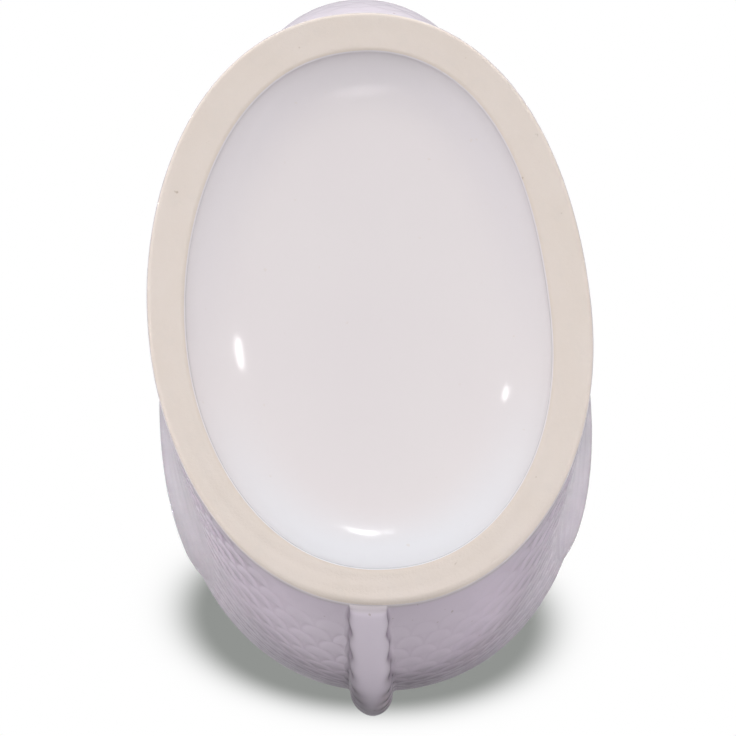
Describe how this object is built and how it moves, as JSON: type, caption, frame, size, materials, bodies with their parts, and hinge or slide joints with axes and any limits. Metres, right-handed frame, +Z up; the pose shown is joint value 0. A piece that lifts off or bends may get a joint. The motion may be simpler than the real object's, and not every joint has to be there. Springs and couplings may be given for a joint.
{
  "type": "fish-shaped gurgle jug",
  "caption": "Glazed earthenware jug shaped as an upright fish on an oval foot: it pours from the open mouth, and its hollow tail is both handle and gurgling air chamber.",
  "frame": {"origin": "on the plane the foot rests on, under the middle of the jug's width and length", "axes": "+Z up; -Y towards the pouring mouth; +Y towards the tail handle; +X to the left of someone who holds the tail and looks over the mouth"},
  "size_m": [0.0992, 0.1812, 0.2498],
  "materials": {
    "lilac_glaze": "glossy pale lilac glaze",
    "white_glaze": "glossy white glaze with a faint lilac cast",
    "bare_bisque": "matt unglazed cream earthenware"
  },
  "bodies": {
    "root": {"foot_ring": "bare_bisque", "base_panel": "white_glaze", "body_shell": "lilac_glaze", "head_shell": "lilac_glaze", "mouth_lip": "lilac_glaze", "tail_tube": "lilac_glaze", "tail_fin": "lilac_glaze", "belly_fin": "lilac_glaze", "dorsal_fin": "lilac_glaze", "left_side_fin": "lilac_glaze", "right_side_fin": "lilac_glaze", "left_gill_cover": "lilac_glaze", "right_gill_cover": "lilac_glaze", "left_eye": "lilac_glaze", "right_eye": "lilac_glaze", "left_eye_ring": "lilac_glaze", "right_eye_ring": "lilac_glaze"}
  },
  "joints": []
}
